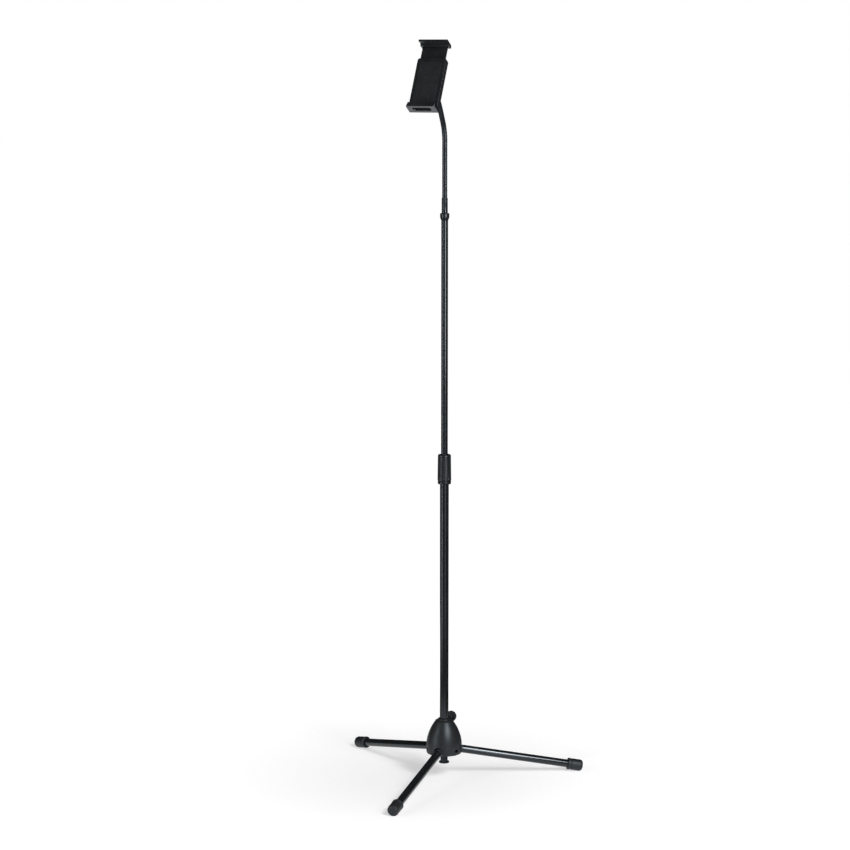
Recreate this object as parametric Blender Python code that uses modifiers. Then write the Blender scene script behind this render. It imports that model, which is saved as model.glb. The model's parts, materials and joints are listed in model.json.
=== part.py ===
"""Folding floor stand that holds a phone or a small tablet at standing height.

A bell-shaped hub carries three legs that fold down around the pole. The pole is a lower tube, a
twist clutch and a sliding upper tube. Above it a lock nut and a ferrule hold a gooseneck, and a
ball joint at its end carries the clamp holder. The stand faces -Y, and +Z is up.

Everything is in metres. The origin is on the floor, under the middle of the bounding box.
"""

from math import atan2, cos, pi, radians, sin, sqrt

import bmesh
import bpy
from mathutils import Vector

# Place of the pole, and the running gap between pieces that touch
POLE_Y = 0.0807
GAP = 0.0003

# Hub: a bell whose outside is a parabola above a short straight skirt
HUB_RADIUS = 0.0427
HUB_TOP_RADIUS = 0.0153
HUB_BOTTOM_Z = 0.061
HUB_SKIRT_Z = 0.080
HUB_TOP_Z = 0.145
HUB_TAPER = 0.6
HUB_WALL = 0.0032
HUB_NECK_BORE = 0.0135
HUB_NECK_BOTTOM_Z = 0.104

# Legs
LEG_AZIMUTHS = (270.0, 30.0, 150.0)
PIVOT_RADIUS = 0.0242
PIVOT_Z = 0.0715
FOOT_RADIUS = 0.340
FOOT_AXIS_Z = 0.0118
LEG_TUBE_RADIUS = 0.0095
LEG_TUBE_WALL = 0.0012
LEG_TUBE_START = 0.0199
SLOT_WIDTH = 0.0205
CLEVIS_WALL = 0.0032
TONGUE_REACH = 0.0132
TONGUE_TIP_RADIUS = 0.002
PIN_RADIUS = 0.0025
PIN_HALF_LENGTH = 0.0135

# Pole
LOWER_TUBE_RADIUS = 0.0105
LOWER_TUBE_WALL = 0.0012
LOWER_TUBE_Z = (0.0838, 0.764)
UPPER_TUBE_RADIUS = 0.008
UPPER_TUBE_WALL = 0.0011
UPPER_TUBE_Z = (0.655, 1.340)
PLUG_NECK_RADIUS = 0.0087
PLUG_FLANGE_RADIUS = 0.0125
PLUG_SHOULDER_RADIUS = 0.014
SPIGOT_BOTTOM_Z = 0.0355

# Hub knob, at the back of the hub
KNOB_Z = 0.1378
KNOB_HEAD_RADIUS = 0.0134
KNOB_HEAD_Y = (0.041, 0.054)
KNOB_BOSS_END = 0.027
KNOB_SCREW_RADIUS = 0.0024

# Twist clutch
CLUTCH_RING_Z = (0.7165, 0.724)
GRIP_TOP_Z = 0.7875
GRIP_TOP_RADIUS = 0.0154
GRIP_BOTTOM_RADIUS = 0.01635

# Lock nut and ferrule
LOCK_NUT_Z = (1.3403, 1.357)
FERRULE_Z = (1.3573, 1.392)
FERRULE_RADIUS = 0.0072
STUD_RADIUS = 0.003
STUD_TOP_Z = 1.370

# Gooseneck: stretches of (length, lean at its start, lean at its end), from the ferrule's top
NECK_RADIUS = 0.00615
NECK_STRETCHES = (
    (0.1300, 0.0, 0.0),
    (0.0487, 0.0, 31.0),
    (0.0220, 31.0, 31.0),
    (0.0450, 31.0, 38.1),
    (0.0440, 38.1, 38.1),
)
NECK_LENGTH = sum(length for length, _, _ in NECK_STRETCHES)
NECK_LEAN = radians(NECK_STRETCHES[-1][2])
NECK_HINGES = 6
NECK_FIRST_HINGE = 0.022
NECK_HINGE_SPACING = 0.0387
NECK_HINGE_GAP = 0.0012
NECK_END = NECK_LENGTH - 0.0341
SLEEVE_RADIUS = 0.0075

# Ball joint
BALL_RADIUS = 0.0095
SOCKET_RADIUS = 0.0098

# Holder, whose back leans away from the user
HOLDER_LEAN = radians(29.5)
HOLDER_WIDTH = 0.070
HOLDER_LENGTH = 0.172
HOLDER_BACK = 0.018
HOLDER_DEPTH = 0.0305
BODY_LENGTH = 0.126
BODY_DEPTH = 0.0145
BODY_WALL = 0.0025
COVER_THICKNESS = 0.0025
SHELF_THICKNESS = 0.0057
LIP_THICKNESS = 0.003
LIP_HEIGHT = 0.0048
UPPER_LIP_HEIGHT = 0.0010
SLIDE_WIDTH = 0.061
SLIDE_DEPTH = (0.0072, 0.0104)
SLIDE_LENGTH = 0.122

PALETTE = {
    "hub_plastic": ((0.020, 0.020, 0.022), 0.45, 0.0),
    "black_steel": ((0.022, 0.022, 0.024), 0.30, 0.0),
    "black_rubber": ((0.016, 0.016, 0.016), 0.80, 0.0),
    "grip_plastic": ((0.018, 0.018, 0.020), 0.50, 0.0),
    "inner_plastic": ((0.060, 0.060, 0.065), 0.55, 0.0),
    "brass": ((0.75, 0.55, 0.24), 0.30, 1.0),
    "steel": ((0.55, 0.56, 0.58), 0.30, 1.0),
    "neck_black": ((0.020, 0.021, 0.024), 0.40, 0.0),
    "holder_plastic": ((0.028, 0.029, 0.031), 0.42, 0.0),
}


def clear_scene():
    for obj in list(bpy.data.objects):
        bpy.data.objects.remove(obj, do_unlink=True)


def make_collection(name):
    collection = bpy.data.collections.new(name)
    bpy.context.scene.collection.children.link(collection)
    return collection


def make_material(node, finish):
    """Each sub-part has its own Principled material, with the colour of its finish."""
    colour, roughness, metallic = PALETTE[finish]
    material = bpy.data.materials.new(node + "_finish")
    material.use_nodes = True
    shader = material.node_tree.nodes["Principled BSDF"]
    shader.inputs["Base Color"].default_value = (*colour, 1.0)
    shader.inputs["Roughness"].default_value = roughness
    shader.inputs["Metallic"].default_value = metallic
    return material


def make_empty(name, parent, location=(0, 0, 0), rotation=(0, 0, 0)):
    empty = bpy.data.objects.new(name, None)
    empty.empty_display_size = 0.02
    empty.location = location
    empty.rotation_euler = rotation
    empty.parent = parent
    PARTS.objects.link(empty)
    return empty


def place(name, mesh, finish, parent, location=(0, 0, 0), rotation=(0, 0, 0)):
    """Adds a sub-part, or a hidden tool shape when it has no finish."""
    obj = bpy.data.objects.new(name, mesh)
    obj.location = location
    obj.rotation_euler = rotation
    obj.parent = parent
    if finish:
        mesh.materials.append(make_material(name, finish))
        PARTS.objects.link(obj)
    else:
        obj.hide_render = True
        obj.display_type = "WIRE"
        TOOLS.objects.link(obj)
    return obj


def smooth(mesh, angle=35.0):
    mesh.shade_smooth()
    mesh.set_sharp_from_angle(angle=radians(angle))


def turned(name, profile, finish, parent, location=(0, 0, 0), rotation=(0, 0, 0), steps=20, ring=False):
    """Turns (radius, height) points, given down the outside, round the local Z axis."""
    count = len(profile)
    mesh = bpy.data.meshes.new(name)
    edges = [(i, i + 1) for i in range(count - 1)]
    if ring:
        edges.append((count - 1, 0))
    mesh.from_pydata([(r, 0.0, z) for r, z in profile], edges, [])
    obj = place(name, mesh, finish, parent, location, rotation)
    screw = obj.modifiers.new("Turn", "SCREW")
    screw.steps = steps
    screw.render_steps = steps
    screw.use_merge_vertices = True
    screw.merge_threshold = 0.00001
    screw.use_smooth_shade = True
    return obj


def tube(name, outer, inner, low, high, finish, parent, steps=16, **where):
    profile = [(outer, high), (outer, low), (inner, low), (inner, high)]
    return turned(name, profile, finish, parent, steps=steps, ring=True, **where)


def rod(name, radius, low, high, finish, parent, steps=16, **where):
    profile = [(0, high), (radius, high), (radius, low), (0, low)]
    return turned(name, profile, finish, parent, steps=steps, **where)


def block(name, low, high, finish, parent, edge=0.0, segments=2, upright=False):
    """A box between two corners in the parent's frame, with its edges rounded."""
    size = Vector(high) - Vector(low)
    centre = (Vector(high) + Vector(low)) / 2
    shape = bmesh.new()
    bmesh.ops.create_cube(shape, size=1.0)
    bmesh.ops.scale(shape, vec=size, verts=shape.verts)
    if edge:
        edges = shape.edges[:]
        if upright:
            edges = [e for e in edges if abs((e.verts[0].co - e.verts[1].co).y) > 1e-6]
        bmesh.ops.bevel(shape, geom=edges, offset=edge, segments=segments, affect="EDGES", profile=0.5)
    mesh = bpy.data.meshes.new(name)
    shape.to_mesh(mesh)
    shape.free()
    smooth(mesh)
    return place(name, mesh, finish, parent, centre)


def outline_mesh(name, points, low, high):
    """A flat outline in (x, y), filled and extruded from low to high along Z, as a mesh."""
    curve = bpy.data.curves.new(name, "CURVE")
    curve.dimensions = "2D"
    curve.fill_mode = "BOTH"
    curve.extrude = (high - low) / 2
    spline = curve.splines.new("POLY")
    spline.use_cyclic_u = True
    spline.points.add(len(points) - 1)
    for point, (x, y) in zip(spline.points, points):
        point.co = (x, y, 0.0, 1.0)
    guide = bpy.data.objects.new(name, curve)
    guide.location.z = (low + high) / 2
    TOOLS.objects.link(guide)
    bpy.context.view_layer.update()
    graph = bpy.context.evaluated_depsgraph_get()
    mesh = bpy.data.meshes.new_from_object(guide.evaluated_get(graph))
    shape = bmesh.new()
    shape.from_mesh(mesh)
    shape.transform(guide.matrix_world)
    bmesh.ops.remove_doubles(shape, verts=shape.verts, dist=0.000001)
    bmesh.ops.recalc_face_normals(shape, faces=shape.faces)
    shape.to_mesh(mesh)
    shape.free()
    bpy.data.objects.remove(guide)
    return mesh


def combine(obj, tool, operation):
    boolean = obj.modifiers.new(operation.title(), "BOOLEAN")
    boolean.operation = operation
    boolean.solver = "EXACT"
    boolean.object = tool


def arc(centre, radius, start, end, count):
    """Points of (radius, height) on an arc, with angles in degrees from the radial direction."""
    angles = [radians(start + (end - start) * i / count) for i in range(count + 1)]
    return [(centre[0] + radius * cos(a), centre[1] + radius * sin(a)) for a in angles]


def bell_radius(z):
    height = max(0.0, (z - HUB_SKIRT_Z) / (HUB_TOP_Z - HUB_SKIRT_Z))
    return HUB_RADIUS * (1 - HUB_TAPER * height**2)


def build_hub_housing(frame, leg_frames):
    rows = 6
    step = (HUB_TOP_Z - 0.0015 - HUB_SKIRT_Z) / rows
    curve = [HUB_TOP_Z - 0.0015 - step * i for i in range(rows + 1)]
    outside = [(HUB_NECK_BORE, HUB_TOP_Z), (HUB_TOP_RADIUS, HUB_TOP_Z)]
    outside += [(bell_radius(z), z) for z in curve]
    outside += arc((HUB_RADIUS - 0.003, HUB_BOTTOM_Z + 0.003), 0.003, 0, -90, 3)
    inside = [(bell_radius(z) - HUB_WALL, z) for z in (HUB_BOTTOM_Z, 0.080, 0.094, 0.106, 0.116, 0.124)]
    neck = [(0.0170, 0.130), (0.0170, HUB_NECK_BOTTOM_Z), (HUB_NECK_BORE, HUB_NECK_BOTTOM_Z)]
    housing = turned("hub_housing", outside + inside + neck, "hub_plastic", frame, steps=24, ring=True)
    boss = turned("knob_boss_shape", [(0, KNOB_BOSS_END), (0.0062, KNOB_BOSS_END), (0.0062, 0.0152), (0, 0.0152)],
                  None, frame, (0, 0, KNOB_Z), (-pi / 2, 0, 0), steps=12)
    combine(housing, boss, "UNION")
    for index, leg in enumerate(leg_frames, 1):
        add_clevis(housing, leg, index)
    for index, leg in enumerate(leg_frames, 1):
        cut_leg_slot(housing, leg, index)
    insert_hole = rod("knob_insert_hole", 0.0046, 0.012, 0.040, None, frame, steps=12,
                      location=(0, 0, KNOB_Z), rotation=(-pi / 2, 0, 0))
    combine(housing, insert_hole, "DIFFERENCE")


def add_clevis(housing, leg, index):
    """Two walls and the pin's access boss, which stand beside a leg's knuckle."""
    inner = SLOT_WIDTH / 2 + GAP
    for side in (-1, 1):
        faces = sorted((side * inner, side * (inner + CLEVIS_WALL)))
        wall = block(f"clevis_{index}_{side}", (-0.0072, faces[0], -0.0094), (0.0156, faces[1], 0.0125), None, leg)
        combine(housing, wall, "UNION")
    boss = rod(f"pin_boss_{index}", 0.0056, inner + 0.001, 0.0327, None, leg, steps=12, rotation=(pi / 2, 0, 0))
    combine(housing, boss, "UNION")


def cut_leg_slot(housing, leg, index):
    """An arch for the leg, open at the bottom, and the holes of its pin."""
    half = SLOT_WIDTH / 2
    outline = arc((0, 0), half, 90, 270, 8) + [(0.020, -half), (0.020, half)]
    mesh = outline_mesh(f"leg_arch_{index}", outline, 0.008, 0.030)
    slot = place(f"leg_arch_{index}", mesh, None, leg, rotation=(0, pi / 2, 0))
    pin_hole = rod(f"pin_hole_{index}", PIN_RADIUS + GAP, -0.016, 0.016, None, leg, steps=12,
                   rotation=(pi / 2, 0, 0))
    access = rod(f"pin_access_{index}", 0.004, PIN_HALF_LENGTH, 0.045, None, leg, steps=12,
                 rotation=(pi / 2, 0, 0))
    for tool in (slot, pin_hole, access):
        combine(housing, tool, "DIFFERENCE")


def build_hub_trim(frame):
    bush = tube("hub_bush", HUB_NECK_BORE - GAP, LOWER_TUBE_RADIUS + GAP, HUB_NECK_BOTTOM_Z + 0.0005,
                HUB_TOP_Z - 0.001, "inner_plastic", frame, steps=24)
    hole = rod("bush_hole", 0.0029, 0.005, 0.020, None, frame, steps=16,
               location=(0, 0, KNOB_Z), rotation=(-pi / 2, 0, 0))
    combine(bush, hole, "DIFFERENCE")
    tube("knob_insert", 0.0043, 0.0027, 0.0156, 0.0255, "brass", frame, steps=16,
         location=(0, 0, KNOB_Z), rotation=(-pi / 2, 0, 0))


def build_hub_knob(frame):
    knob = make_empty("hub_knob_axis", frame, (0, 0, KNOB_Z), (-pi / 2, 0, 0))
    back, face = KNOB_HEAD_Y
    radius = KNOB_HEAD_RADIUS
    bore = 0.0027
    profile = [(0, face), (radius - 0.004, face)]
    profile += arc((radius - 0.0018, face - 0.0018), 0.0018, 90, 0, 3)
    profile += arc((radius - 0.0015, back + 0.0015), 0.0015, 0, -90, 2)
    profile += [(0.0052, back), (0.0045, back - 0.002), (0.0045, KNOB_BOSS_END + GAP)]
    profile += [(bore, KNOB_BOSS_END + GAP), (bore, face - 0.005), (0, face - 0.005)]
    turned("hub_knob", profile, "grip_plastic", knob, steps=24)
    rod("hub_knob_screw", KNOB_SCREW_RADIUS, 0.0112, face - 0.0055, "steel", knob, steps=16)


def build_leg(leg, index):
    """The leg frame is at the hinge pin, with X outwards and Y along the pin."""
    run = FOOT_RADIUS - PIVOT_RADIUS
    drop = PIVOT_Z - FOOT_AXIS_Z
    length = sqrt(run**2 + drop**2)
    slope = make_empty(f"leg_{index}_slope", leg, rotation=(0, pi / 2 + atan2(drop, run), 0))
    build_knuckle(leg, slope, index)
    tube(f"leg_tube_{index}", LEG_TUBE_RADIUS, LEG_TUBE_RADIUS - LEG_TUBE_WALL, LEG_TUBE_START,
         length - 0.0080, "black_steel", slope)
    build_foot_cap(slope, index, length)
    build_leg_pin(leg, index)


def build_knuckle(leg, slope, index):
    half = SLOT_WIDTH / 2 - 0.00055
    knuckle = rod(f"leg_knuckle_{index}", 0.0085, -half, half, "inner_plastic", leg, steps=16,
                  rotation=(pi / 2, 0, 0))
    start = LEG_TUBE_START - GAP
    fit = LEG_TUBE_RADIUS - LEG_TUBE_WALL - GAP
    stem = turned(f"knuckle_stem_{index}",
                  [(0, 0.045), (fit, 0.045), (fit, start), (0.0093, start), (0.0093, 0.003), (0, 0.003)],
                  None, slope, steps=16)
    combine(knuckle, stem, "UNION")
    tongue = block(f"knuckle_tongue_{index}", (-TONGUE_REACH, -0.004, -TONGUE_TIP_RADIUS),
                   (0.001, 0.004, TONGUE_TIP_RADIUS), None, leg)
    combine(knuckle, tongue, "UNION")
    tip = rod(f"knuckle_tip_{index}", TONGUE_TIP_RADIUS - 0.00002, -0.00399, 0.00399, None, leg, steps=12,
              location=(-TONGUE_REACH, 0, 0), rotation=(pi / 2, 0, 0))
    combine(knuckle, tip, "UNION")
    hole = rod(f"knuckle_hole_{index}", PIN_RADIUS + GAP, -0.012, 0.012, None, leg, steps=12,
               rotation=(pi / 2, 0, 0))
    combine(knuckle, hole, "DIFFERENCE")


def build_foot_cap(slope, index, end):
    """A rubber cap with a collar, a groove and a round end that is moulded flat where it stands."""
    bore = LEG_TUBE_RADIUS + GAP
    profile = [(0, end - 0.0008), (0.006, end - 0.0008), (0.0062, end), (0.0088, end)]
    profile += arc((0.0088, end - 0.005), 0.005, 60, 0, 2)
    profile += [(0.0138, end - 0.0290), (0.0132, end - 0.0296), (0.0132, end - 0.0314)]
    profile += [(0.0142, end - 0.0320), (0.0142, end - 0.0370), (bore, end - 0.0370)]
    profile += [(bore, end - 0.0077), (0, end - 0.0077)]
    cap = turned(f"foot_cap_{index}", profile, "black_rubber", slope, steps=24)
    combine(cap, bpy.data.objects["floor_cutter"], "DIFFERENCE")


def build_leg_pin(leg, index):
    """A shoulder pin that goes in from the boss side, with its head in the boss."""
    end = PIN_HALF_LENGTH
    head = 0.0036
    profile = [(0, end + 0.0035), (head, end + 0.0035), (head, end + 0.0005), (PIN_RADIUS, end + 0.0005)]
    profile += [(PIN_RADIUS, -end + 0.0005), (PIN_RADIUS - 0.0005, -end), (0, -end)]
    turned(f"leg_pin_{index}", profile, "black_steel", leg, rotation=(pi / 2, 0, 0), steps=12)


def build_tube_plug(frame):
    """Its groove holds the tongues of the knuckles, so the legs fold as the pole rises."""
    tongue_top = PIVOT_Z + TONGUE_TIP_RADIUS
    neck = PLUG_NECK_RADIUS
    flange = PLUG_FLANGE_RADIUS
    fit = LOWER_TUBE_RADIUS - LOWER_TUBE_WALL - GAP
    profile = [(0, 0.112), (fit - 0.001, 0.112), (fit, 0.110), (fit, 0.0835)]
    profile += [(PLUG_SHOULDER_RADIUS, 0.0835), (PLUG_SHOULDER_RADIUS, tongue_top + GAP)]
    profile += [(neck, tongue_top + GAP), (neck, 0.0674), (flange, 0.0674), (flange, 0.0625)]
    profile += [(neck, 0.0620), (neck, SPIGOT_BOTTOM_Z + 0.0035), (flange - 0.0005, SPIGOT_BOTTOM_Z + 0.0035)]
    profile += [(flange, SPIGOT_BOTTOM_Z + 0.003), (flange, SPIGOT_BOTTOM_Z + 0.0005)]
    profile += [(flange - 0.0005, SPIGOT_BOTTOM_Z), (0, SPIGOT_BOTTOM_Z)]
    turned("tube_plug", profile, "inner_plastic", frame, steps=24)


def build_clutch(frame):
    """The grip screws down on the clutch body and squeezes the split collet on the upper tube."""
    low, high = CLUTCH_RING_Z
    sleeve = LOWER_TUBE_RADIUS + GAP
    ring = [(0.0148, high), (0.0158, high - 0.0008), (0.0158, low + 0.0015), (0.0145, low), (sleeve, low),
            (sleeve, high)]
    turned("clutch_ring", ring, "grip_plastic", frame, steps=24, ring=True)
    tube("clutch_body", 0.0130, sleeve, high + GAP, 0.7635, "inner_plastic", frame, steps=24)
    bore = UPPER_TUBE_RADIUS + GAP
    collet = [(bore + 0.0006, 0.7838), (0.0098, 0.7838), (0.0122, 0.7680), (0.0122, 0.7648), (bore, 0.7648),
              (bore, 0.7832)]
    split = turned("clutch_collet", collet, "inner_plastic", frame, steps=24, ring=True)
    slit = block("collet_slit", (0.005, -0.0007, 0.760), (0.016, 0.0007, 0.790), None, frame)
    combine(split, slit, "DIFFERENCE")
    build_grip(frame, high + 2 * GAP)


def build_grip(frame, bottom):
    inner = 0.0133
    top = GRIP_TOP_Z
    profile = [(0.0086, top)]
    profile += arc((GRIP_TOP_RADIUS - 0.003, top - 0.003), 0.003, 90, 0, 3)
    profile += [(GRIP_BOTTOM_RADIUS, bottom + 0.001), (GRIP_BOTTOM_RADIUS - 0.001, bottom), (inner, bottom)]
    profile += [(inner, 0.7680), (0.0109, 0.7844), (0.0086, 0.7844)]
    turned("clutch_grip", profile, "grip_plastic", frame, steps=24, ring=True)


def build_pole(frame):
    build_tube_plug(frame)
    tube("lower_tube", LOWER_TUBE_RADIUS, LOWER_TUBE_RADIUS - LOWER_TUBE_WALL, *LOWER_TUBE_Z,
         "black_steel", frame, steps=20)
    build_clutch(frame)
    bore = UPPER_TUBE_RADIUS - UPPER_TUBE_WALL
    low, high = UPPER_TUBE_Z
    tube("upper_tube", UPPER_TUBE_RADIUS, bore, low, high, "black_steel", frame, steps=20)
    tube("guide_bush", LOWER_TUBE_RADIUS - LOWER_TUBE_WALL - GAP, UPPER_TUBE_RADIUS + GAP, low + 0.001,
         low + 0.021, "inner_plastic", frame)
    fit = bore - GAP
    stud = [(0, STUD_TOP_Z), (STUD_RADIUS - 0.0005, STUD_TOP_Z), (STUD_RADIUS, STUD_TOP_Z - 0.0005)]
    stud += [(STUD_RADIUS, high), (fit, high), (fit, high - 0.035), (0, high - 0.035)]
    turned("top_stud", stud, "steel", frame, steps=16)


def build_lock_nut(frame):
    low, high = LOCK_NUT_Z
    bore = STUD_RADIUS + 0.0004
    profile = [(bore, high), (0.0100, high)]
    profile += arc((0.0100, high - 0.001), 0.001, 60, 0, 2)
    profile += [(0.0110, high - 0.0090), (0.0104, high - 0.0115), (0.0088, low + 0.001), (0.0084, low)]
    profile += [(bore, low)]
    turned("lock_nut", profile, "grip_plastic", frame, steps=16, ring=True)


def build_ferrule(frame):
    """Screwed on the stud below, crimped round the gooseneck's foot above."""
    low, high = FERRULE_Z
    hole = STUD_RADIUS + 0.0004
    socket = NECK_RADIUS + GAP
    profile = [(0, STUD_TOP_Z + 0.004), (socket, STUD_TOP_Z + 0.004), (socket, high)]
    profile += [(FERRULE_RADIUS - 0.0004, high), (FERRULE_RADIUS, high - 0.0006)]
    profile += [(FERRULE_RADIUS, low + 0.0006), (FERRULE_RADIUS - 0.0006, low), (hole, low)]
    profile += [(hole, STUD_TOP_Z + 0.0005), (0, STUD_TOP_Z + 0.0005)]
    turned("gooseneck_ferrule", profile, "neck_black", frame, steps=16)


def neck_point(distance):
    """(forward, height, lean) on the gooseneck's centre line, measured from the ferrule's top."""
    forward, height = 0.0, FERRULE_Z[1] + min(distance, 0.0)
    left = max(distance, 0.0)
    lean = 0.0
    for length, start, end in NECK_STRETCHES:
        part = min(left, length)
        start, end = radians(start), radians(end)
        lean = start + (end - start) * part / length
        if abs(end - start) < 1e-9:
            forward += part * sin(start)
            height += part * cos(start)
        else:
            radius = length / (end - start)
            forward += radius * (cos(start) - cos(lean))
            height += radius * (sin(lean) - sin(start))
        left -= part
    return forward, height, lean


def neck_stations(low, high):
    """Distances along one segment: closely spaced at its ends, which are tapered."""
    taper = 0.0012
    steps = 5
    inner = [low + taper + (high - low - 2 * taper) * i / steps for i in range(steps + 1)]
    return [low] + inner + [high]


def build_neck_segment(frame, name, low, high):
    """A length of the gooseneck, whose origin is where it bends on the one below."""
    forward, height, _ = neck_point(low)
    start = Vector((0, -forward, height))
    curve = bpy.data.curves.new(name, "CURVE")
    curve.dimensions = "3D"
    curve.bevel_depth = NECK_RADIUS
    curve.bevel_resolution = 2
    curve.use_fill_caps = True
    spline = curve.splines.new("POLY")
    stations = neck_stations(low, high)
    spline.points.add(len(stations) - 1)
    for point, station in zip(spline.points, stations):
        ahead, up, _ = neck_point(station)
        point.co = (*(Vector((0, -ahead, up)) - start), 1.0)
        point.radius = 0.62 if station in (low, high) else 1.0
    return place(name, curve, "neck_black", frame, start)


def build_gooseneck(frame):
    bounds = [-0.0170] + [NECK_FIRST_HINGE + NECK_HINGE_SPACING * i for i in range(NECK_HINGES)] + [NECK_END]
    half = NECK_HINGE_GAP / 2
    for index in range(NECK_HINGES + 1):
        low = bounds[index] + (half if index else 0.0)
        high = bounds[index + 1] - (half if index < NECK_HINGES else 0.0)
        build_neck_segment(frame, f"gooseneck_{index + 1}", low, high)


def build_neck_end(neck_end):
    """The local origin is the ball's centre, with Z along the neck."""
    bore = NECK_RADIUS + GAP
    inner = -0.0335
    sleeve = [(0, -0.0140), (0.003, -0.0140), (0.003, -0.0203), (SLEEVE_RADIUS - 0.0006, -0.0203)]
    sleeve += [(SLEEVE_RADIUS, -0.0209), (SLEEVE_RADIUS, -0.0444), (SLEEVE_RADIUS - 0.0005, -0.0450)]
    sleeve += [(bore, -0.0450), (bore, inner), (0, inner)]
    turned("neck_end_sleeve", sleeve, "neck_black", neck_end, steps=16)
    cup = [(sqrt(SOCKET_RADIUS**2 - 0.002**2), 0.002), (0.0120, 0.002), (0.0120, -0.008), (0.0085, -0.0150)]
    cup += [(0.0080, -0.0200), (0.0034, -0.0200), (0.0034, -0.0135), (0, -0.0135)]
    bowl = arc((0, 0), SOCKET_RADIUS, -90, -5, 6)
    turned("ball_socket", bowl + cup, "holder_plastic", neck_end, steps=24)
    ring = [(0.0086, 0.0090), (0.0118, 0.0090), (0.0136, 0.0075), (0.0136, -0.0060), (0.0123, -0.0060)]
    ring += [(0.0123, 0.0023)] + arc((0, 0), SOCKET_RADIUS, 13.6, 39.2, 3)
    turned("clamp_ring", ring, "grip_plastic", neck_end, steps=24, ring=True)


def build_ball_stud(holder):
    """The local origin is the ball's centre, with -Y through the holder."""
    plate = HOLDER_BACK
    shank = 0.0025
    profile = [(0, plate + 0.0068), (shank, plate + 0.0068), (shank, plate - GAP), (0.0065, plate - GAP)]
    profile += [(0.0065, plate - 0.0030), (0.0035, plate - 0.0050)]
    profile += arc((0, 0), BALL_RADIUS, 68, -90, 9)
    turned("ball_stud", profile, "steel", holder, rotation=(pi / 2, 0, 0), steps=16)
    wall = plate + BODY_WALL
    tube("stud_washer", 0.0075, shank + GAP, wall + GAP, wall + 0.0014, "steel", holder, steps=16,
         rotation=(pi / 2, 0, 0))
    nut = rod("stud_nut", 0.0052, wall + 0.0017, wall + 0.0040, "steel", holder, rotation=(pi / 2, 0, 0), steps=6)
    bore = rod("stud_nut_bore", shank + GAP, wall, wall + 0.0070, None, holder, rotation=(pi / 2, 0, 0), steps=16)
    combine(nut, bore, "DIFFERENCE")


def holder_limits():
    bottom = -HOLDER_LENGTH / 2
    return bottom, bottom + SHELF_THICKNESS + GAP


def build_holder_body(holder):
    _, low = holder_limits()
    high = low + BODY_LENGTH
    half = HOLDER_WIDTH / 2
    back = -HOLDER_BACK
    front = back - BODY_DEPTH + COVER_THICKNESS + GAP
    shell = block("back_housing", (-half, front, low), (half, back, high), "holder_plastic", holder,
                  edge=0.003, segments=3, upright=True)
    wall = BODY_WALL
    hollow = block("housing_hollow", (-half + wall, front - 0.005, low + wall),
                   (half - wall, back - wall, high - wall), None, holder)
    combine(shell, hollow, "DIFFERENCE")
    gate = SLIDE_WIDTH / 2 + GAP
    mouth = block("slide_mouth", (-gate, back - SLIDE_DEPTH[1] - GAP, high - 0.010),
                  (gate, back - SLIDE_DEPTH[0] + GAP, high + 0.010), None, holder)
    combine(shell, mouth, "DIFFERENCE")
    stud_hole = rod("stud_hole", 0.0028, 0.010, 0.030, None, holder, steps=16, rotation=(pi / 2, 0, 0))
    combine(shell, stud_hole, "DIFFERENCE")
    cover_back = front - GAP
    cover_front = cover_back - COVER_THICKNESS
    block("front_cover", (-half, cover_front, low), (half, cover_back, high), "holder_plastic", holder,
          edge=0.003, segments=3, upright=True)
    block("back_pad", (-half + 0.008, cover_front - GAP - 0.0012, low + 0.010),
          (half - 0.008, cover_front - GAP, high - 0.010), "black_rubber", holder, edge=0.0004, segments=1)
    block("slide_brake_pad", (-0.012, cover_back + GAP, high - 0.030),
          (0.012, back - SLIDE_DEPTH[1] - GAP, high - 0.010), "black_rubber", holder)


def build_lower_jaw(holder):
    bottom, low = holder_limits()
    top = low - GAP
    half = HOLDER_WIDTH / 2
    back = -HOLDER_BACK
    front = back - HOLDER_DEPTH
    cut = 0.0025
    inset = 0.0027
    outline = [(-half, back), (-half, front + cut), (-half + cut, front), (half - cut, front), (half, front + cut)]
    mesh = outline_mesh("lower_jaw", outline + [(half, back)], bottom, top)
    smooth(mesh)
    shelf = place("lower_jaw", mesh, "holder_plastic", holder)
    bevel = shelf.modifiers.new("Corners", "BEVEL")
    bevel.width = 0.001
    bevel.segments = 2
    lip = block("lower_lip_shape", (-half + inset, front + 0.0002, bottom + 0.0015),
                (half - inset, front + LIP_THICKNESS, top + LIP_HEIGHT), None, holder, edge=0.0008)
    combine(shelf, lip, "UNION")
    slot = block("cable_slot_shape", (-0.0225, back - 0.0235, bottom - 0.005), (0.0225, back - 0.0085, top + 0.005),
                 None, holder, edge=0.003)
    combine(shelf, slot, "DIFFERENCE")
    pad_back = back - BODY_DEPTH - 0.0020
    for index, side in enumerate((-1, 1), 1):
        ends = sorted((side * 0.0235, side * (half - 0.004)))
        block(f"lower_pad_{index}", (ends[0], front + LIP_THICKNESS + 0.0010, top + GAP),
              (ends[1], pad_back, top + GAP + 0.0012), "black_rubber", holder, edge=0.0004, segments=1)


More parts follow.
